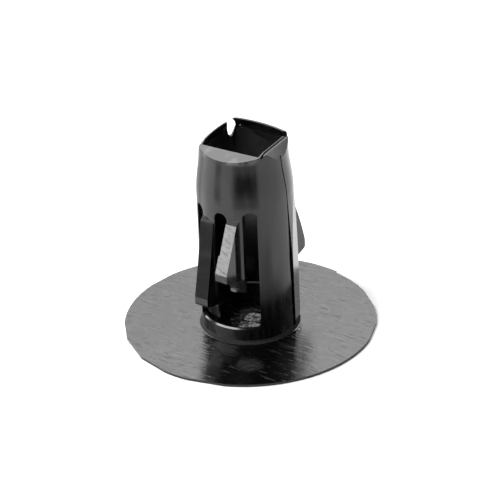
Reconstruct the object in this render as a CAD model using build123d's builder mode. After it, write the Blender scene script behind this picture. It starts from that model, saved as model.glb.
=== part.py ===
"""Push rivet: a thin round head and a hollow shank, moulded in one piece.

The shank is a round tube on the middle of the head.  Two windows open opposite
sides of it, and from the band above each window hang two springy legs.  Every
leg carries a wedge-shaped barb, and the barbs stop at different heights, so the
rivet grips panels of several thicknesses.  The end of the tube is drawn in to a
four-sided mouth with a lip along each side.

The frame: +Z up along the shank, origin in the middle of the head's underside,
one window faces -Y and the other +Y.  Lengths are in millimetres.
"""

from build123d import *
from math import acos, cos, degrees, radians, sin, tan
import os

# ---------------------------------------------------------------- head disc
head_diameter = 25.2
head_thickness = 0.25
# Flats where the disc was trimmed unevenly: heading in degrees, depth.
head_trims = [(220, 0.1), (236, 0.16), (254, 0.12), (283, 0.16), (170, 0.08), (20, 0.1), (50, 0.12)]
# Stub of the runner that was left on the edge of the disc.
head_stub_heading = 93
head_stub_width = 5.6
head_stub_depth = 0.22
# Torn stub of the moulding gate inside the shank.  For each lump: place of its
# middle, half-lengths along and across, heading of its length, height and lean
# of its top in degrees.
gate_lumps = [
    (0.6, -0.45, 1.05, 0.75, 30, 0.75, 12),
    (0.95, -1.95, 1.35, 0.75, 42, 0.65, 14),
    (-0.65, -1.35, 0.75, 0.6, -10, 0.42, 12),
]

# -------------------------------------------------------------------- shank
shank_diameter = 9.6
shank_wall = 0.36
shank_length = 20.5          # from the head to the rim of the mouth
shank_root_fillet = 0.3
shoulder_drop = 5.5          # below the rim, where the tube starts to draw in
neck_drop = 0.9              # below the rim, where it runs straight again
neck_diameter = 8.8

# ------------------------------------------------------------------- mouth
# Corners of the opening, anticlockwise from the front left one.
mouth_corners = [(-2.8, -2.95), (3.47, -2.52), (3.2, 2.85), (-3.05, 3.0)]
# For each side, front side first: bow outwards, width of the flat land on top
# of the lip, slope of the lip below the horizontal in degrees, and thickness.
# A land below zero starts the slope that far inside the mouth and so lowers
# the side.
mouth_sides = [
    (0.03, -0.8, 14, 0.3),
    (0.05, 0.5, 65, 0.45),
    (0.4, 0.24, 68, 0.3),
    (0.3, 0.14, 68, 0.3),
]
# Splits through the rim: heading in degrees, and the torn outline from the
# rim down one side and up the other, as sideways place and height.
mouth_splits = [
    (140, [(0.59, 0), (0.54, -0.7), (0.4, -1.55), (0.2, -1.85), (0, -1.8),
             (-0.2, -1.4), (-0.45, -0.75), (-0.36, -0.35), (-0.12, 0)]),
    (40, [(0.55, 0), (0.4, -0.65), (-0.3, -0.65), (-0.45, -0.2), (-0.55, 0)]),
]
# Groove along the land of the right-hand side.
rim_groove_side = 1
rim_groove_inset = 0.1
rim_groove_width = 0.2
rim_groove_depth = 0.35

# ------------------------------------------------------------ windows, legs
window_sill = 1.7            # height of the closed collar above the head
sill_chamfer = 0.14          # on the outer edge of the collar, front window
leg_taper_start = 0.6        # below the foot of the barb
leg_taper_depth = 0.24       # taken off the outside of a leg at its free end
# The three slots of each window, from -X to +X, with the two legs between
# them: sideways place of the middle, width, and top above the head.
slots = {
    -1: [(-2.7, 1.2, 14.3), (0.25, 1.4, 14.4), (2.98, 1.13, 14.65)],
    1: [(-3.31, 0.23, 14.4), (0, 1.4, 14.4), (3.31, 0.23, 14.4)],
}

# ------------------------------------------------------------------- barbs
# One barb for each leg: face of the shank (-1 front, 1 back), side of the
# window, distance of its middle from the axis sideways, width, reach from the
# axis to the flat land, heights above the head of the top of the ramp, of the
# foot of the barb and of the free end of the leg, and bow of the ramp outwards.
barbs = [
    (-1, -1, 1.34, 1.48, 6.35, 13.0, 4.3, 2.4, -0.1),
    (-1, 1, 1.5, 1.34, 6.85, 13.4, 7.9, 5.7, 0),
    (1, 1, 1.52, 1.5, 6.85, 12.1, 5.7, 1.85, 0.14),
    (1, -1, 1.52, 1.5, 6.7, 13.0, 6.9, 1.85, 0.02),
]
barb_ledge = 0.05            # how far the top of a ramp stands out from the tube
barb_ledge_slope = 35        # of the facet from there up to the leg, in degrees
barb_land = 0.9
barb_undercut = 15           # slope of the underside in degrees
barb_nose_radius = 0.3

# ------------------------------------------------------------- lapped seam
lap_proud = 0.32             # how far the lapped edge stands out at its foot
lap_flush_height = 14.8      # where it lies flush
lap_full_height = 5.0        # where it stands out fully
lap_foot_gap = 0.35          # between its foot and the head
seam_heading = 7             # degrees from +X towards +Y
seam_rim_x = -0.55           # sideways place of the seam at the rim
seam_foot_x = 0.35           # and at the head
seam_proud = 0.12            # how far the lap stands out right beside the seam
seam_width = 0.14
seam_depth = 0.12

# --------------------------------------------------------- worked-out sizes
head_top = head_thickness
rim = head_top + shank_length
shoulder = rim - shoulder_drop
shank_radius = shank_diameter / 2
bore_radius = shank_radius - shank_wall
neck_radius = neck_diameter / 2
clear = 1.0                  # how far a cutter runs past the faces it cuts


def tube_form(inset, foot):
    """Solid of the tube's outer form moved in by inset, from foot to the rim."""
    radius = shank_radius - inset
    neck_inside = neck_radius - inset
    with BuildPart() as form:
        with BuildSketch(Plane.XZ):
            with BuildLine():
                side = Line((radius, foot), (radius, shoulder))
                neck = Line((neck_inside, rim - neck_drop), (neck_inside, rim))
                Spline(side @ 1, neck @ 0, tangents=(side % 1, neck % 0))
                Polyline(neck @ 1, (0, rim), (0, foot), side @ 0)
            make_face()
        revolve(axis=Axis.Z)
    return form.part


def mouth_side_plane(number):
    """Plane across the middle of one side: x outwards, y up, on the rim."""
    start = Vector(*mouth_corners[number])
    end = Vector(*mouth_corners[(number + 1) % len(mouth_corners)])
    along = (end - start).normalized()
    middle = (start + end) / 2
    outwards = Vector(along.Y, -along.X)
    half_length = (end - start).length / 2
    plane = Plane(origin=(middle.X, middle.Y, rim), x_dir=outwards, z_dir=-along)
    return plane, half_length


def lip_cutter(number, thickness):
    """What lies above the lip of one side, lowered square to it by thickness."""
    plane, half_length = mouth_side_plane(number)
    bow, land, slope, _ = mouth_sides[number]
    bow_radius = (half_length**2 + bow**2) / (2 * bow)
    fall = tan(radians(slope))
    lowered = thickness / cos(radians(slope))
    outer = shank_radius + clear / 2 - Vector(*plane.origin).dot(plane.x_dir) - bow
    inner = land if thickness == 0 else land - lowered / fall
    above = clear + lowered
    with BuildPart() as cutter:
        with BuildSketch(plane):
            with Locations((bow, 0)):
                Polygon(
                    (inner, (land - inner) * fall - lowered),
                    (outer, (land - outer) * fall - lowered),
                    (outer, above),
                    (inner, above),
                    align=None,
                )
        centre = plane.origin + plane.x_dir * (bow - bow_radius)
        revolve(axis=Axis(centre, (0, 0, 1)))
    return cutter.part


def mouth_opening():
    """Upright prism through the opening of the mouth."""
    with BuildPart() as opening:
        with BuildSketch(Plane.XY.offset(rim + clear)):
            with BuildLine():
                for number, start in enumerate(mouth_corners):
                    end = mouth_corners[(number + 1) % len(mouth_corners)]
                    plane, _ = mouth_side_plane(number)
                    middle = plane.origin + plane.x_dir * mouth_sides[number][0]
                    ThreePointArc(start, (middle.X, middle.Y), end)
            make_face()
        extrude(amount=-shoulder_drop - clear)
    return opening.part


def leg_span(face, side):
    """Sideways places of the two edges of a leg, which are those of its slots."""
    left, right = slots[face][:2] if side < 0 else slots[face][1:]
    return left[0] + left[1] / 2, right[0] - right[1] / 2


def leg_taper(face, side, start, leg_end):
    """What the outside of a leg loses below its barb, more and more to its end."""
    leg_from, leg_to = leg_span(face, side)
    with BuildPart() as taper:
        with BuildSketch(Plane.XZ):
            with Locations((0, head_top)):
                Polygon(
                    (shank_radius, start),
                    (shank_radius + clear, start),
                    (shank_radius + clear, leg_end),
                    (shank_radius - leg_taper_depth, leg_end),
                    align=None,
                )
        revolve(axis=Axis.Z)
        with BuildSketch(Plane.XY.offset(head_top + leg_end)):
            with Locations((leg_from, 0)):
                Rectangle(
                    leg_to - leg_from,
                    shank_radius + clear,
                    align=(Align.MIN, Align.MAX if face < 0 else Align.MIN),
                )
        extrude(amount=start - leg_end, mode=Mode.INTERSECT)
    return taper.part


def sill_edge():
    """The corner taken off the collar along the sill of the front window."""
    sill = head_top + window_sill
    from_x = slots[-1][0][0]
    to_x = slots[-1][-1][0]
    with BuildPart() as edge:
        with BuildSketch(Plane.XZ):
            Polygon(
                (shank_radius - sill_chamfer, sill),
                (shank_radius, sill - sill_chamfer),
                (shank_radius + clear, sill - sill_chamfer),
                (shank_radius + clear, sill),
                align=None,
            )
        revolve(axis=Axis.Z)
        with BuildSketch(Plane.XY.offset(sill - sill_chamfer)):
            with Locations((from_x, 0)):
                Rectangle(
                    to_x - from_x,
                    shank_radius + clear,
                    align=(Align.MIN, Align.MAX),
                )
        extrude(amount=sill_chamfer, mode=Mode.INTERSECT)
    return edge.part


def window_cutter(face):
    """Three slots, and the openings below the tails of the legs, on one face."""
    sill = head_top + window_sill
    from_sill = (Align.MIN, Align.MIN)
    with BuildPart() as cutter:
        with BuildSketch(Plane.XZ):
            for x, width, top in slots[face]:
                round_centre = head_top + top - width / 2
                with Locations((x, round_centre)):
                    Circle(width / 2)
                with Locations((x - width / 2, sill)):
                    Rectangle(width, round_centre - sill, align=from_sill)
            for barb_face, side, *_, leg_end, _ in barbs:
                if barb_face == face:
                    leg_from, leg_to = leg_span(face, side)
                    with Locations((leg_from, sill)):
                        Rectangle(leg_to - leg_from, leg_end - window_sill, align=from_sill)
        extrude(amount=-face * (shank_radius + lap_proud + clear))
        if face < 0:
            add(sill_edge())
        for barb_face, side, _, _, _, _, foot, leg_end, _ in barbs:
            if barb_face == face:
                add(leg_taper(face, side, foot - leg_taper_start, leg_end))
    return cutter.part


def barb(face, side, middle, width, reach, ramp_top, foot, leg_end, bow):
    """Wedge on one leg: ledge, ramp, flat land, rounded nose and undercut."""
    root = bore_radius / 2
    across = Plane(origin=(side * middle, 0, head_top), x_dir=(0, face, 0), z_dir=(face, 0, 0))
    with BuildPart() as wedge:
        with BuildSketch(across) as profile:
            with BuildLine():
                land = Line((reach, foot + barb_land), (reach, foot))
                ramp_start = Vector(shank_radius + barb_ledge, ramp_top)
                if bow == 0:
                    Line(ramp_start, land @ 0)
                else:
                    ramp_middle = (ramp_start + land @ 0) / 2
                    square_to_ramp = (land @ 0 - ramp_start).normalized().rotate(Axis.Z, 90)
                    ThreePointArc(ramp_start, ramp_middle + square_to_ramp * bow, land @ 0)
                Polyline(
                    land @ 1,
                    (root, foot - (reach - root) * tan(radians(barb_undercut))),
                    (root, ramp_top + (ramp_start.X - root) * tan(radians(barb_ledge_slope))),
                    ramp_start,
                )
            make_face()
            nose = profile.vertices().group_by(Axis.X)[-1].sort_by(Axis.Y)[0]
            fillet(nose, radius=barb_nose_radius)
        extrude(amount=width / 2, both=True)
    return wedge.part


# The seam runs down the right-hand side, leaning from the rim to the head.
seam_direction = Vector(1, 0, 0).rotate(Axis.Z, seam_heading)
seam_plane = Plane(
    origin=(0, 0, head_top),
    x_dir=seam_direction.rotate(Axis.Z, 90),
    z_dir=seam_direction,
)


def seam_x(height):
    """Sideways place of the seam at a height above the head."""
    return seam_foot_x + (seam_rim_x - seam_foot_x) * height / shank_length


# The lapped edge: a flat strip of wall from the seam to the back window, which
# stands out further and further towards its foot.
back_slot_x, back_slot_width, _ = slots[1][-1]
lap_far_heading = degrees(acos((back_slot_x + back_slot_width / 2) / shank_radius))
lap_far_x = shank_radius * sin(radians(lap_far_heading - seam_heading))
lap_near = Vector(shank_radius + seam_proud, seam_foot_x)
lap_far = Vector(shank_radius + lap_proud, 0).rotate(Axis.Z, lap_far_heading - seam_heading)
with BuildPart() as lap:
    with BuildSketch(Plane.XZ):
        with Locations((0, head_top)):
            Polygon(
                (shank_radius - shank_wall / 2, lap_foot_gap),
                (shank_radius + lap_proud, lap_foot_gap),
                (shank_radius + lap_proud, lap_full_height),
                (shank_radius, lap_flush_height),
                (shank_radius - shank_wall / 2, lap_flush_height),
                align=None,
            )
    revolve(axis=Axis.Z)
    with BuildSketch(seam_plane):
        Polygon(
            (seam_x(lap_foot_gap), lap_foot_gap),
            (lap_far_x, lap_foot_gap),
            (lap_far_x, lap_flush_height),
            (seam_x(lap_flush_height), lap_flush_height),
            align=None,
        )
    extrude(amount=shank_radius + lap_proud + clear, mode=Mode.INTERSECT)
    with BuildSketch(Plane(origin=(0, 0, head_top), x_dir=seam_direction)):
        along = (lap_far - lap_near).normalized() * clear
        Polygon(
            tuple(lap_near - along)[:2],
            tuple(lap_far + along)[:2],
            tuple(lap_far + along - Vector(shank_radius, 0))[:2],
            tuple(lap_near - along - Vector(shank_radius, 0))[:2],
            align=None,
        )
    extrude(amount=lap_flush_height, mode=Mode.INTERSECT)

# The fine groove along the seam, cut only seam_depth deep.
with BuildPart() as seam:
    with BuildSketch(seam_plane):
        Polygon(
            (seam_x(lap_foot_gap) - seam_width, lap_foot_gap),
            (seam_x(lap_foot_gap), lap_foot_gap),
            (seam_x(shank_length), shank_length),
            (seam_x(shank_length) - seam_width, shank_length),
            align=None,
        )
    extrude(amount=shank_radius + clear)
    add(tube_form(seam_depth, 0), mode=Mode.SUBTRACT)

# The torn stub of the gate: oval lumps with leaning tops.
with BuildPart() as gate:
    for lump_x, lump_y, half_length, half_width, heading, height, lean in gate_lumps:
        with BuildSketch(Plane.XY.offset(head_top)):
            with Locations(Location((lump_x, lump_y, 0), (0, 0, heading))):
                Ellipse(half_length, half_width)
        extrude(amount=height)
        leaning = Plane(Location((lump_x, lump_y, head_top + height), (lean, 0, heading)))
        with BuildSketch(leaning):
            Circle(2 * half_length)
        extrude(amount=clear, mode=Mode.SUBTRACT)

# The hollow of the shank leaves the lips and the stub of the gate standing.
with BuildPart() as hollow:
    add(tube_form(shank_wall, head_top))
    for number, (_, _, _, lip_thickness) in enumerate(mouth_sides):
        add(lip_cutter(number, lip_thickness), mode=Mode.SUBTRACT)
    add(mouth_opening())
    add(gate.part, mode=Mode.SUBTRACT)

with BuildPart() as rivet:
    # Head, with the shank standing on it.
    with BuildSketch():
        Circle(head_diameter / 2 + head_stub_depth)
        with PolarLocations(head_diameter / 2, 1, start_angle=head_stub_heading):
            Rectangle(head_diameter / 4, head_stub_width, mode=Mode.INTERSECT)
        Circle(head_diameter / 2)
        for heading, depth in head_trims:
            with PolarLocations(head_diameter / 2 - depth, 1, start_angle=heading):
                Rectangle(
                    clear,
                    head_diameter / 2,
                    align=(Align.MIN, Align.CENTER),
                    mode=Mode.SUBTRACT,
                )
    extrude(amount=head_thickness)
    add(tube_form(0, 0))
    root = rivet.edges().filter_by(GeomType.CIRCLE).filter_by_position(Axis.Z, head_top, head_top)
    fillet(root.sort_by(SortBy.RADIUS)[0], radius=shank_root_fillet)

    # Everything that stands out from the tube.
    add(lap.part)
    for values in barbs:
        add(barb(*values))

    # Mouth, hollow, seam and windows.
    for number in range(len(mouth_sides)):
        add(lip_cutter(number, 0), mode=Mode.SUBTRACT)
    add(hollow.part, mode=Mode.SUBTRACT)
    add(seam.part, mode=Mode.SUBTRACT)
    for heading, outline in mouth_splits:
        split_heading = Vector(1, 0, 0).rotate(Axis.Z, heading)
        across = Plane(
            origin=split_heading * (neck_radius / 2) + Vector(0, 0, rim),
            x_dir=split_heading.rotate(Axis.Z, 90),
            z_dir=split_heading,
        )
        with BuildSketch(across):
            Polygon(
                *outline,
                (outline[-1][0], clear),
                (outline[0][0], clear),
                align=None,
            )
        extrude(amount=shank_radius, mode=Mode.SUBTRACT)
    groove_plane, groove_half_length = mouth_side_plane(rim_groove_side)
    with BuildSketch(groove_plane):
        with Locations((mouth_sides[rim_groove_side][0] + rim_groove_inset, 0)):
            Rectangle(
                rim_groove_width,
                2 * rim_groove_depth,
                align=(Align.MIN, Align.CENTER),
            )
    extrude(amount=groove_half_length, both=True, mode=Mode.SUBTRACT)
    for face in (-1, 1):
        add(window_cutter(face), mode=Mode.SUBTRACT)

rivet.part.label = "push_rivet"
os.makedirs("parts", exist_ok=True)
export_step(rivet.part, "parts/push_rivet.step")
print("push_rivet", len(rivet.part.solids()), "solid", round(rivet.part.volume, 1), "mm3")
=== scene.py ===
# %% [markdown]
# # A black plastic push rivet
#
# The part is one moulding: a thin round head, and a hollow shank with two
# windows, four springy legs with wedge-shaped barbs, and a four-sided mouth.
# This lesson dresses it in satin black plastic, lights it like a small thing on
# a studio table, and looks down at it through a long lens.
#
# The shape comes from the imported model.  It could be modelled again here, but
# the solid already has every wall, barb and slot, so the lesson leaves the mesh
# as it is and gives it a finish.  A Bevel modifier would soften the edges, but on
# walls this thin it bends the shading of the flat barbs.

import math

import bmesh
import bpy
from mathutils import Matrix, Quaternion, Vector

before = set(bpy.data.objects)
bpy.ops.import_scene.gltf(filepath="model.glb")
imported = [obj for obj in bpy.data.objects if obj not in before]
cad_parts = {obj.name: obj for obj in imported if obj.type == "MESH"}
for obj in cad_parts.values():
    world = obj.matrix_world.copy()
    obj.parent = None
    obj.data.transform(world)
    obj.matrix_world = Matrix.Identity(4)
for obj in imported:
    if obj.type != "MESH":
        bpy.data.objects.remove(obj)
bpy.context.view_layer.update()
RIVET = "push_rivet"
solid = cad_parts[RIVET]

MM = 0.001
HEAD_TOP = 0.25 * MM
SHANK_RADIUS = 4.8 * MM
NECK_RADIUS = 4.4 * MM
SHOULDER_HEIGHT = 15.25 * MM
NECK_HEIGHT = 19.85 * MM
RIM_HEIGHT = 20.75 * MM

# %% [markdown]
# ## The camera
#
# A long lens from a third of a metre away keeps the head's circle nearly a true
# ellipse.  The camera is placed by its heading and height above the table, aimed
# a little above the head, and rolled slightly, so that the rivet leans a touch
# in the view.  A `track_quat` does the aiming, and the roll is one more turn
# about the line of sight.

# %% Camera
AZIMUTH, ELEVATION, ROLL = math.radians(35), math.radians(30.1), math.radians(-2.31)
CAMERA_DISTANCE = 0.356
CAMERA_LIFT = 0.15 * MM
SENSOR_WIDTH_MM = 36
FIELD_WIDTH = 0.05
AIM = Vector((-1.82, 3.03, 6.24)) * MM


def direction(azimuth, elevation):
    """Unit vector from the rivet towards a heading and a height."""
    level = math.cos(elevation)
    return Vector((math.sin(azimuth) * level, -math.cos(azimuth) * level, math.sin(elevation)))


to_camera = direction(AZIMUTH, ELEVATION)
camera = bpy.data.objects.new("camera", bpy.data.cameras.new("camera"))
camera.data.sensor_width = SENSOR_WIDTH_MM
camera.data.lens = SENSOR_WIDTH_MM * CAMERA_DISTANCE / FIELD_WIDTH
camera.data.clip_start, camera.data.clip_end = 0.01, 20
camera.location = to_camera * CAMERA_DISTANCE + Vector((0, 0, CAMERA_LIFT))
camera.rotation_mode = "QUATERNION"
line_of_sight = (AIM - camera.location).to_track_quat("-Z", "Y")
camera.rotation_quaternion = line_of_sight @ Quaternion((0, 0, 1), ROLL)
bpy.context.scene.collection.objects.link(camera)
bpy.context.scene.camera = camera
bpy.context.scene.view_settings.view_transform = "Standard"
print("lens in mm:", round(camera.data.lens, 1))

# %% [markdown]
# ## The plastic, seen close
#
# Black plastic is nearly all gloss: very little light comes back from inside it,
# so what is seen is its surroundings, blurred by the fineness of its skin.  Three
# things break the gloss up on this part, and each is a small node group:
#
# - **brushed lines** on the head, all in one direction, from the tool that cut
#   the mould, and fainter ones drawn along the shank,
# - **mottle**, soft patches where the plastic cooled unevenly,
# - **tool ticks**, short marks across the ramps of the barbs.
#
# A fourth group, **places on the rivet**, says where each of them belongs.  Every
# group puts out masks, and the material mixes them into its colour, roughness and
# bump, so that one group can serve in several places.

# %% Helpers for node groups
def new_group(name, inputs, outputs):
    """A shader node group with named sockets; returns it with its ends."""
    group = bpy.data.node_groups.new(name, "ShaderNodeTree")
    for label, kind, value in inputs:
        socket = group.interface.new_socket(label, in_out="INPUT", socket_type=kind)
        if value is not None:
            socket.default_value = value
    for label, kind in outputs:
        group.interface.new_socket(label, in_out="OUTPUT", socket_type=kind)
    return group, group.nodes.new("NodeGroupInput"), group.nodes.new("NodeGroupOutput")


def node(tree, kind, **settings):
    """A new node with its settings given by name."""
    made = tree.nodes.new("ShaderNode" + kind)
    for key, value in settings.items():
        setattr(made, key, value)
    return made


def wire(tree, source, target):
    """A link, or a plain value set on the socket."""
    if isinstance(source, (int, float, tuple)):
        target.default_value = source
    else:
        tree.links.new(source, target)


def calc(tree, operation, *values, clamp=False):
    """A Math node; returns its output."""
    made = node(tree, "Math", operation=operation, use_clamp=clamp)
    for value, socket in zip(values, made.inputs):
        wire(tree, value, socket)
    return made.outputs[0]


def ramp_between(tree, value, start, end, low=0.0, high=1.0):
    """Value spread smoothly from start..end to low..high."""
    made = node(tree, "MapRange", interpolation_type="SMOOTHSTEP")
    for source, target in zip((value, start, end, low, high), made.inputs):
        wire(tree, source, target)
    return made.outputs[0]


def stretched(tree, vector, scale, turn=0.0):
    """Vector with its axes scaled and turned about Z."""
    made = node(tree, "Mapping", vector_type="POINT")
    wire(tree, vector, made.inputs["Vector"])
    made.inputs["Rotation"].default_value = (0, 0, turn)
    made.inputs["Scale"].default_value = scale
    return made.outputs[0]


def noise(tree, vector, scale, detail=2.0, roughness=0.5):
    """A Noise Texture's factor."""
    made = node(tree, "TexNoise")
    wire(tree, vector, made.inputs["Vector"])
    for label, value in (("Scale", scale), ("Detail", detail), ("Roughness", roughness)):
        made.inputs[label].default_value = value
    return made.outputs["Fac"]


def from_axis(tree, x, y):
    """Distance from the rivet's axis."""
    squares = [calc(tree, "MULTIPLY", across, across) for across in (x, y)]
    return calc(tree, "SQRT", calc(tree, "ADD", *squares))


VECTOR, NUMBER = "NodeSocketVector", "NodeSocketFloat"

# %% [markdown]
# ### Brushed lines
#
# Fine scratches are noise squeezed five to ten times more across than along, so
# that each grain of it becomes a line.  Two layers of different width, one masked
# by a broad patchy noise, keep the lines from looking like a printed pattern.

# %% Brushed lines
FINE_STRETCH = (260, 3000, 300)
COARSE_STRETCH = (480, 2600, 400)
PATCHES_PER_METRE = 330.0

brushed, here, out = new_group(
    "brushed_lines",
    [("Position", VECTOR, None), ("Turn", NUMBER, 0.0)],
    [("Fine", NUMBER), ("Scratches", NUMBER)],
)
turned = node(brushed, "VectorRotate", rotation_type="Z_AXIS")
wire(brushed, here.outputs["Position"], turned.inputs["Vector"])
wire(brushed, here.outputs["Turn"], turned.inputs["Angle"])
along = turned.outputs[0]
fine = noise(brushed, stretched(brushed, along, FINE_STRETCH), 1.0, 3.0, 0.6)
coarse = noise(brushed, stretched(brushed, along, COARSE_STRETCH), 1.0, 2.0, 0.5)
patches = noise(brushed, along, PATCHES_PER_METRE, 2.0)
scratch = ramp_between(brushed, coarse, 0.58, 0.66)
scratch = calc(brushed, "MULTIPLY", scratch, ramp_between(brushed, patches, 0.38, 0.54))
wire(brushed, fine, out.inputs["Fine"])
wire(brushed, scratch, out.inputs["Scratches"])
print("brushed_lines:", len(brushed.nodes), "nodes")

# %% [markdown]
# ### Mottle
#
# Moulded plastic is never quite even.  A broad noise gives soft patches, a finer
# one the lumps of torn plastic, and the finest its skin.  All three come from the
# same position, scaled, so that one number sets the size of everything.

# %% Mottle
mottle, here, out = new_group(
    "mottle",
    [("Position", VECTOR, None), ("Scale", NUMBER, 400.0)],
    [("Broad", NUMBER), ("Torn", NUMBER), ("Grain", NUMBER)],
)
scaled = node(mottle, "VectorMath", operation="SCALE")
wire(mottle, here.outputs["Position"], scaled.inputs[0])
wire(mottle, here.outputs["Scale"], scaled.inputs["Scale"])
for label, fineness, detail, roughness in (
    ("Broad", 1.0, 3.0, 0.55),
    ("Torn", 6.0, 3.0, 0.6),
    ("Grain", 14.0, 2.0, 0.6),
):
    wire(mottle, noise(mottle, scaled.outputs[0], fineness, detail, roughness), out.inputs[label])
print("mottle:", len(mottle.nodes), "nodes")

# %% [markdown]
# ### Places on the rivet
#
# Wear, tool marks and painted light belong to certain places: the front lip of
# the mouth, the ramps of the barbs, the torn stub of the gate, with a painted
# highlight on it and a painted shadow in the cleft between its lumps, a painted
# highlight on the end of one leg, a painted patch of light on the head and two
# painted glints.  One group turns a position into soft masks for them, from the
# height above the table, the distance from the axis and the nearness to a point.
# A group that knows the shape keeps the material itself short.

# %% Places: the group and its measures
PLACES = (
    "Head", "Barbs", "Scored Barbs", "Front Lip", "Stub", "Root",
    "Inside", "Back Sill", "Painted Light On Head", "Painted Highlight On Foot", "Painted Glints",
)

places, here, out = new_group(
    "places_on_the_rivet",
    [("Position", VECTOR, None), ("Normal", VECTOR, None)],
    [(label, NUMBER) for label in PLACES],
)
split = node(places, "SeparateXYZ")
wire(places, here.outputs["Position"], split.inputs[0])
x, y, z = split.outputs
facing = node(places, "SeparateXYZ")
wire(places, here.outputs["Normal"], facing.inputs[0])
radius = from_axis(places, x, y)


def rises(value, start, end):
    """Zero up to the start and one from the end on."""
    return ramp_between(places, value, start, end)


def falls(value, start, end):
    """One up to the start and zero from the end on."""
    return ramp_between(places, value, start, end, 1.0, 0.0)


def all_of(*masks):
    """Masks multiplied together."""
    whole = masks[0]
    for mask in masks[1:]:
        whole = calc(places, "MULTIPLY", whole, mask)
    return whole


# %% [markdown]
# The head's mask fades out just above its top face.  The barbs are whatever
# stands out of the tube to the front or the back.  Tool marks are only on the
# outward faces of the two on the right.

# %% Places: head and barbs
wire(places, falls(z, HEAD_TOP + 0.05 * MM, HEAD_TOP + 0.12 * MM), out.inputs["Head"])

off_tube = rises(calc(places, "ABSOLUTE", y), SHANK_RADIUS + 0.02 * MM, SHANK_RADIUS + 0.1 * MM)
ramps = all_of(off_tube, rises(z, 2.0 * MM, 2.2 * MM))
wire(places, ramps, out.inputs["Barbs"])
outward = rises(calc(places, "ABSOLUTE", facing.outputs["Y"]), 0.6, 0.8)
right_half = rises(x, -0.1 * MM, 0.1 * MM)
wire(places, all_of(ramps, right_half, outward), out.inputs["Scored Barbs"])

# %% [markdown]
# Wear shows on the front lip.  The stub of the gate stands on the head inside the
# shank.  It is torn and pale, and its paleness is also a painted highlight of the
# light that falls in through the window: it is painted much darker on its left, as
# shade, and a wandering cleft across it stays dark as a painted shadow.

# %% Places: front lip, and stub of the gate with painted light and shadow
STUB_TOP = 1.3 * MM
CLEFT_SHADOW_FROM_AXIS = 0.83 * MM
CLEFT_SHADOW_WANDER = 0.5 * MM
WANDERS_PER_METRE = 1800

near_rim = rises(z, RIM_HEIGHT - 1.1 * MM, RIM_HEIGHT - 0.6 * MM)
in_front = rises(y, -2.4 * MM, -2.9 * MM)
wire(places, all_of(near_rim, in_front), out.inputs["Front Lip"])

off_floor = rises(z, HEAD_TOP + 0.08 * MM, HEAD_TOP + 0.2 * MM)
low_down = falls(z, STUB_TOP, STUB_TOP + 0.2 * MM)
# Painted shade: the stub's paleness drops to a tenth towards its left end.
painted_shade_on_left = ramp_between(places, x, -0.25 * MM, 0.05 * MM, 0.1, 1.0)
# Painted shadow: a dark wandering line across the stub, the cleft between its lumps.
wobble = noise(places, stretched(places, here.outputs["Position"], (WANDERS_PER_METRE,) * 3), 1.0)
cleft_shadow_line = calc(places, "ADD", y, calc(places, "MULTIPLY", wobble, CLEFT_SHADOW_WANDER))
cleft_shadow_line = calc(places, "ABSOLUTE", calc(places, "ADD", cleft_shadow_line, CLEFT_SHADOW_FROM_AXIS))
off_painted_cleft_shadow = ramp_between(places, cleft_shadow_line, 0.06 * MM, 0.2 * MM, 0.05, 1.0)
in_the_bore = falls(radius, 3.9 * MM, 4.1 * MM)
torn_stub_with_painted_light = all_of(off_floor, low_down, painted_shade_on_left, off_painted_cleft_shadow, in_the_bore)
wire(places, torn_stub_with_painted_light, out.inputs["Stub"])

# %% [markdown]
# Three places should not shine: the root, where the shank meets the head; the
# inside of the neck, found by its depth below the outer skin; and the sill of the
# back window, which can be seen through a slot at the front.

# %% Places: root, inside of the neck and back sill
off_head = rises(z, HEAD_TOP + 0.01 * MM, HEAD_TOP + 0.03 * MM)
below_root = falls(z, 0.55 * MM, 0.65 * MM)
wire(places, all_of(off_head, below_root, rises(radius, 4.6 * MM, 4.75 * MM)), out.inputs["Root"])

above_shoulder = calc(places, "SUBTRACT", z, SHOULDER_HEIGHT)
share_up = calc(places, "DIVIDE", above_shoulder, NECK_HEIGHT - SHOULDER_HEIGHT, clamp=True)
drawn_in = calc(places, "MULTIPLY", share_up, SHANK_RADIUS - NECK_RADIUS)
depth = calc(places, "SUBTRACT", calc(places, "SUBTRACT", SHANK_RADIUS, drawn_in), radius)
inside = all_of(
    rises(depth, 0.2 * MM, 0.25 * MM),
    rises(z, 15.0 * MM, 16.0 * MM),
    falls(z, 19.5 * MM, 19.9 * MM),
)
wire(places, inside, out.inputs["Inside"])

back_sill = all_of(
    rises(y, 2.9 * MM, 3.1 * MM),
    falls(z, 2.05 * MM, 2.15 * MM),
    rises(z, 1.8 * MM, 1.85 * MM),
)
wire(places, back_sill, out.inputs["Back Sill"])

# %% [markdown]
# Small marks sit at points, and all of them are painted light: a painted patch of
# light on the head in front of the shank, a painted highlight on the end of the
# front right leg, and painted glints in the mouth and on the head.

# %% Places: painted light at points
LIGHT_ON_HEAD_AT, LIGHT_ON_HEAD_SIZE = (4.9, -7.4, 0.25), (1.8, 1.6, 0.3)
FOOT_HIGHLIGHT_AT, FOOT_HIGHLIGHT_SIZE = (1.4, -4.45, 6.1), (0.75, 0.6, 0.5)
GLINT_IN_MOUTH, GLINT_IN_MOUTH_SIZE = (-2.51, 3.17, 20.03), (0.1, 0.1, 0.1)
GLINT_ON_HEAD, GLINT_ON_HEAD_SIZE = (5.23, 0.89, 0.25), (0.16, 0.16, 0.16)


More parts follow.
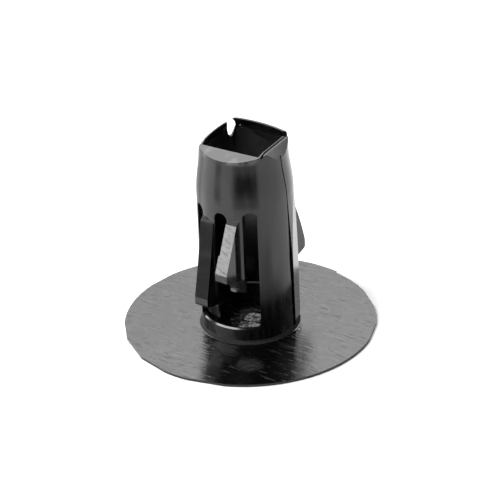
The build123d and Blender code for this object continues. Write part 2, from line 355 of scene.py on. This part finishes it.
def nearness(centre, radii):
    """One at a point of the rivet, fading to zero at the given radii, all in millimetres."""
    away = node(places, "VectorMath", operation="SUBTRACT")
    wire(places, here.outputs["Position"], away.inputs[0])
    wire(places, tuple(c * MM for c in centre), away.inputs[1])
    shrunk = stretched(places, away.outputs[0], tuple(1 / (r * MM) for r in radii))
    reach = node(places, "VectorMath", operation="LENGTH")
    wire(places, shrunk, reach.inputs[0])
    return falls(reach.outputs["Value"], 0.3, 1.0)


# Painted light: a pale, mottled patch on the head in front of the shank.
wire(places, nearness(LIGHT_ON_HEAD_AT, LIGHT_ON_HEAD_SIZE), out.inputs["Painted Light On Head"])
# Painted highlight: the end of the front right leg, mottled.
wire(places, nearness(FOOT_HIGHLIGHT_AT, FOOT_HIGHLIGHT_SIZE), out.inputs["Painted Highlight On Foot"])
# Painted glints: two bright points, in the mouth and on the head.
glint_in_mouth = nearness(GLINT_IN_MOUTH, GLINT_IN_MOUTH_SIZE)
glint_on_head = nearness(GLINT_ON_HEAD, GLINT_ON_HEAD_SIZE)
wire(places, calc(places, "MAXIMUM", glint_in_mouth, glint_on_head), out.inputs["Painted Glints"])
print("places_on_the_rivet:", len(places.nodes), "nodes")

# %% [markdown]
# ### Tool ticks
#
# The ramps of the barbs carry short marks across them, where the cutter that
# made the mould stepped down.  They are thin bands in height, bent a little by
# noise, and broken up sideways so that no two run the full width.

# %% Tool ticks
TICK_PITCH = 0.55 * MM
TICK_BEND = 0.5 * MM
TICK_SLANT = 0.35
BENDS_PER_METRE = 900
BREAKS_PER_METRE = (1500, 900, 700)

ticks, here, out = new_group(
    "tool_ticks",
    [("Position", VECTOR, None), ("Pitch", NUMBER, TICK_PITCH)],
    [("Ticks", NUMBER)],
)
split = node(ticks, "SeparateXYZ")
wire(ticks, here.outputs["Position"], split.inputs[0])
x, _, z = split.outputs
waves = noise(ticks, stretched(ticks, here.outputs["Position"], (BENDS_PER_METRE,) * 3), 1.0)
bend = calc(ticks, "MULTIPLY", waves, TICK_BEND)
slant = calc(ticks, "MULTIPLY", x, TICK_SLANT)
climb = calc(ticks, "ADD", calc(ticks, "ADD", z, slant), bend)
phase = calc(ticks, "FRACT", calc(ticks, "DIVIDE", climb, here.outputs["Pitch"]))
off_centre = calc(ticks, "ABSOLUTE", calc(ticks, "SUBTRACT", phase, 0.5))
band = ramp_between(ticks, off_centre, 0.03, 0.1, 1.0, 0.0)
gaps = noise(ticks, stretched(ticks, here.outputs["Position"], BREAKS_PER_METRE), 1.0)
broken = ramp_between(ticks, gaps, 0.45, 0.6)
wire(ticks, calc(ticks, "MULTIPLY", band, broken), out.inputs["Ticks"])
print("tool_ticks:", len(ticks.nodes), "nodes")

# %% [markdown]
# ## The moulded black plastic
#
# One material covers the one node.  It reads Object coordinates, so its marks
# stay put on the part from every side.  Three numbers carry all of it: how pale
# the plastic is, how rough, and how high its skin stands.

# %% Black plastic
PLASTIC_IOR = 1.5

plastic = bpy.data.materials.new("moulded_black_plastic")
plastic.use_nodes = True
tree = plastic.node_tree
tree.nodes.clear()
surface = node(tree, "BsdfPrincipled")
surface.inputs["IOR"].default_value = PLASTIC_IOR
wire(tree, surface.outputs[0], node(tree, "OutputMaterial").inputs["Surface"])
on_part = node(tree, "TexCoord")
position, normal = on_part.outputs["Object"], on_part.outputs["Normal"]


def effect(group):
    """A node group placed in the plastic and given the position; returns its outputs."""
    made = node(tree, "Group", node_tree=group)
    for label, source in (("Position", position), ("Normal", normal)):
        if label in made.inputs:
            wire(tree, source, made.inputs[label])
    return made.outputs


def blend(low, high, factor):
    """A plain mix of two numbers."""
    made = node(tree, "Mix", data_type="FLOAT")
    for value, label in ((factor, "Factor"), (low, "A"), (high, "B")):
        wire(tree, value, made.inputs[label])
    return made.outputs["Result"]


def product(first, second):
    """Two masks multiplied together."""
    return calc(tree, "MULTIPLY", first, second)


lines, patch, where, marks = effect(brushed), effect(mottle), effect(places), effect(ticks)
print("effects placed:", len([n for n in tree.nodes if n.type == "GROUP"]))

# %% [markdown]
# The brushed lines run level, along X.  For the streaks that are drawn up the
# shank, the same group is placed once more on a position turned upright.

# %% Lines drawn up the shank
upended = node(tree, "VectorRotate", rotation_type="Y_AXIS")
wire(tree, position, upended.inputs["Vector"])
upended.inputs["Angle"].default_value = math.radians(90)
drawn = effect(brushed)
wire(tree, upended.outputs[0], drawn["Fine"].node.inputs["Position"])

# %% [markdown]
# Paleness is zero for clean black plastic and one for plastic that is stressed
# or torn, which turns grey, and the same grey also paints light.  The two glints,
# painted highlights, and the stub of the gate, torn and painted with a highlight,
# are the palest, then the painted highlight on the end of the leg and the worn
# front lip, then the ramps of the right-hand barbs and the painted patch of light
# on the head.  Drawn streaks on the shank are barely there.  Where two masks
# meet, the paler one wins.

# %% Paleness, with painted light
CLEAN_BLACK = (0.001, 0.001, 0.0011, 1)
TORN_GREY_AND_HIGHLIGHT = (0.42, 0.42, 0.42, 1)

blotch = ramp_between(tree, patch["Broad"], 0.46, 0.58)
torn = ramp_between(tree, patch["Torn"], 0.44, 0.6)
lip_wear = product(where["Front Lip"], blotch)
dull_lines = product(where["Head"], lines["Scratches"])
off_the_head = calc(tree, "SUBTRACT", 1.0, where["Head"])
streaks = product(off_the_head, ramp_between(tree, drawn["Fine"], 0.4, 0.65))
wear_and_painted_light = product(where["Stub"], blend(0.05, 0.7, torn))
# Painted light in this list: the glints, the highlight on the leg's end, the patch on the head and
# part of the stub's paleness.
for mask, amount in (
    (lip_wear, 0.12),
    (product(where["Scored Barbs"], torn), 0.06),
    (streaks, 0.012),
    (product(where["Painted Light On Head"], blend(0.4, 1.0, torn)), 0.05),
    (product(where["Painted Highlight On Foot"], torn), 0.3),
    (where["Painted Glints"], 1.0),
):
    wear_and_painted_light = calc(tree, "MAXIMUM", wear_and_painted_light, product(mask, amount))
colour = node(tree, "Mix", data_type="RGBA")
wire(tree, wear_and_painted_light, colour.inputs["Factor"])
colour.inputs["A"].default_value = CLEAN_BLACK
colour.inputs["B"].default_value = TORN_GREY_AND_HIGHLIGHT
wire(tree, colour.outputs["Result"], surface.inputs["Base Color"])

# %% [markdown]
# Roughness decides how blurred the reflections are.  The barbs are the smoothest
# and mirror a panel nearly sharp.  The head and the shank are a little softer,
# with fine lines in the one and mottle in the other.  Scratches, torn and
# worn places and the inside of the neck are duller.  The narrow root where the
# shank meets the head and the sill of the back window are matt, since neither
# should catch a bright line.

# %% Roughness
POLISHED = 0.08
SATIN, LINE_CHANGE, MOTTLE_CHANGE = 0.13, 0.08, 0.09
SCRATCHED, DULL, TORN_ROUGH, MATT = 0.47, 0.5, 0.6, 1.0
LIP_WEAR_SHARE = 0.3

rough_head = calc(tree, "ADD", SATIN, product(lines["Fine"], LINE_CHANGE))
rough_shank = calc(tree, "ADD", SATIN, product(patch["Broad"], MOTTLE_CHANGE))
torn_places = calc(tree, "MAXIMUM", where["Stub"], product(lip_wear, LIP_WEAR_SHARE))
matt_places = calc(tree, "MAXIMUM", where["Root"], where["Back Sill"])
rough = blend(rough_shank, rough_head, where["Head"])
for value, mask in (
    (SCRATCHED, dull_lines),
    (POLISHED, where["Barbs"]),
    (TORN_ROUGH, torn_places),
    (DULL, where["Inside"]),
    (MATT, matt_places),
):
    rough = blend(rough, value, mask)
wire(tree, rough, surface.inputs["Roughness"])

# %% [markdown]
# The bump is shallow everywhere: lines on the head, ticks cut into the ramps of
# the barbs, coarse grain on the torn stub and a faint skin on everything else.

# %% Bump
BUMP_STRENGTH, BUMP_DISTANCE = 0.6, 0.02 * MM
GRAIN_HEIGHT = 0.1

height = product(patch["Grain"], GRAIN_HEIGHT)
for mask, amount in (
    (product(lines["Fine"], where["Head"]), 4.0),
    (dull_lines, -0.5),
    (product(marks["Ticks"], where["Scored Barbs"]), -1.5),
    (product(patch["Torn"], where["Stub"]), 8.0),
):
    height = calc(tree, "ADD", height, product(mask, amount))
bump = node(tree, "Bump")
bump.inputs["Strength"].default_value = BUMP_STRENGTH
bump.inputs["Distance"].default_value = BUMP_DISTANCE
wire(tree, height, bump.inputs["Height"])
wire(tree, bump.outputs[0], surface.inputs["Normal"])
print("moulded_black_plastic:", len(tree.nodes), "nodes")

# %% Put the finish on the rivet
solid.data.materials.clear()
solid.data.materials.append(plastic)

# %% [markdown]
# ## The table and the light
#
# The table is one plain pale sheet, big enough to fill the view from every side.
# The light is soft: five large panels, and a sky that looks white but lights the
# rivet only dimly.  Black plastic shows the panels more than they light it, so
# each one is placed for the reflection that it draws on the shank or the head.

# %% Table
TABLE_HALF_WIDTH = 1.5
TABLE_DROP = 0.02 * MM
TABLE_WHITE = (0.72, 0.72, 0.72, 1)

bm = bmesh.new()
bmesh.ops.create_grid(bm, x_segments=1, y_segments=1, size=TABLE_HALF_WIDTH)
table = bpy.data.objects.new("table", bpy.data.meshes.new("table"))
bm.to_mesh(table.data)
bm.free()
table.location.z = -TABLE_DROP
bpy.context.scene.collection.objects.link(table)
pale = bpy.data.materials.new("pale_table")
pale.use_nodes = True
paint = pale.node_tree.nodes["Principled BSDF"]
paint.inputs["Base Color"].default_value = TABLE_WHITE
paint.inputs["Roughness"].default_value = 0.9
paint.inputs["Specular IOR Level"].default_value = 0.0
table.data.materials.append(pale)

# %% The sky
SKY_AS_A_LAMP, SKY_TO_THE_EYE = 0.08, 1.2

world = bpy.data.worlds.new("studio")
world.use_nodes = True
sky = world.node_tree
to_the_eye = node(sky, "LightPath").outputs["Is Camera Ray"]
brightness = ramp_between(sky, to_the_eye, 0.0, 1.0, SKY_AS_A_LAMP, SKY_TO_THE_EYE)
wire(sky, brightness, sky.nodes["Background"].inputs["Strength"])
sky.nodes["Background"].inputs["Color"].default_value = (1, 1, 1, 1)
bpy.context.scene.world = world


# %% The panels
def panel(name, heading, height, distance, size, radiance):
    """A soft light aimed at the rivet: place in degrees, size in metres, brightness of its face."""
    light = bpy.data.objects.new(name, bpy.data.lights.new(name, "AREA"))
    light.data.shape = "RECTANGLE"
    light.data.size, light.data.size_y = size
    light.data.energy = radiance * math.pi * size[0] * size[1]
    towards = direction(math.radians(heading), math.radians(height))
    light.location = towards * distance
    light.rotation_mode = "QUATERNION"
    light.rotation_quaternion = (-towards).to_track_quat("-Z", "Y")
    bpy.context.scene.collection.objects.link(light)


panel("low_back_panel", 215, 19, 0.6, (0.6, 0.24), 2.2)
panel("high_back_panel", 226, 50, 0.6, (0.66, 0.38), 5.1)
panel("left_panel", -50, 17, 0.5, (0.9, 0.2), 9.0)
panel("high_left_panel", -32, 46, 0.5, (0.42, 0.24), 12.0)
panel("right_panel", 132, 14, 0.5, (0.6, 0.12), 6.5)

# %% [markdown]
# In a studio, a dark card goes where a shiny thing would otherwise mirror the
# bright table, to give it a dark core.  Here one soft-edged card lies round the
# rivet.  Where it is not dark it is as pale as the table, so its edges do not
# show.  Only mirror-like rays see it, which no real card could do, so the table
# stays plain.

# %% Dark patches of the card
carded = pale.copy()
carded.name = "soft_edged_card"
paper = carded.node_tree
split = node(paper, "SeparateXYZ")
wire(paper, node(paper, "TexCoord").outputs["Object"], split.inputs[0])
x, y, _ = split.outputs
away = from_axis(paper, x, y)
heading = calc(paper, "ARCTAN2", x, calc(paper, "MULTIPLY", y, -1.0))


def spread(value, *edges):
    """One between the two inner edges and zero outside the two outer ones."""
    outer_low, inner_low, inner_high, outer_high = edges
    rising = ramp_between(paper, value, outer_low, inner_low)
    falling = ramp_between(paper, value, inner_high, outer_high, 1.0, 0.0)
    return calc(paper, "MULTIPLY", rising, falling)


def dark_patch(headings, distances, strength):
    """A soft patch between headings in degrees and distances in millimetres."""
    across = spread(heading, *[math.radians(angle) for angle in headings])
    along = spread(away, *[distance * MM for distance in distances])
    return calc(paper, "MULTIPLY", calc(paper, "MULTIPLY", across, along), strength)


darkness = dark_patch((0, 16, 58, 70), (56, 68, 160, 200), 1.0)
for headings, distances, strength in (
    ((0, 16, 58, 70), (32, 41, 160, 200), 0.55),
    ((-42, -34, -26, -18), (38, 44, 64, 76), 0.7),
    ((30, 50, 85, 130), (12, 12.9, 13.5, 20), 0.7),
    ((55, 65, 78, 95), (12, 12.9, 18, 32), 0.45),
    ((-130, -125, -92, -78), (12, 12.9, 160, 200), 0.5),
):
    another = dark_patch(headings, distances, strength)
    darkness = calc(paper, "MAXIMUM", darkness, another)
tone = node(paper, "Mix", data_type="RGBA")
wire(paper, darkness, tone.inputs["Factor"])
tone.inputs["A"].default_value = TABLE_WHITE
tone.inputs["B"].default_value = (0, 0, 0, 1)
wire(paper, tone.outputs["Result"], paper.nodes["Principled BSDF"].inputs["Base Color"])

# %% The card itself
CARD_NEAR, CARD_REACH = 12.9 * MM, 450 * MM
CARD_FROM, CARD_TO = math.radians(-130), math.radians(150)
CARD_STEPS = 60
CARD_HEIGHT = 0.05 * MM

bm = bmesh.new()
start = direction(CARD_FROM, 0)
ends = [bm.verts.new(start * CARD_NEAR), bm.verts.new(start * CARD_REACH)]
bmesh.ops.spin(
    bm,
    geom=[*ends, bm.edges.new(ends)],
    angle=CARD_TO - CARD_FROM,
    axis=(0, 0, 1),
    cent=(0, 0, 0),
    steps=CARD_STEPS,
)
card = bpy.data.objects.new("soft_edged_card", bpy.data.meshes.new("soft_edged_card"))
bm.to_mesh(card.data)
bm.free()
card.location.z = CARD_HEIGHT
card.data.materials.append(carded)
for ray in ("camera", "diffuse", "shadow", "transmission"):
    setattr(card, "visible_" + ray, False)
bpy.context.scene.collection.objects.link(card)
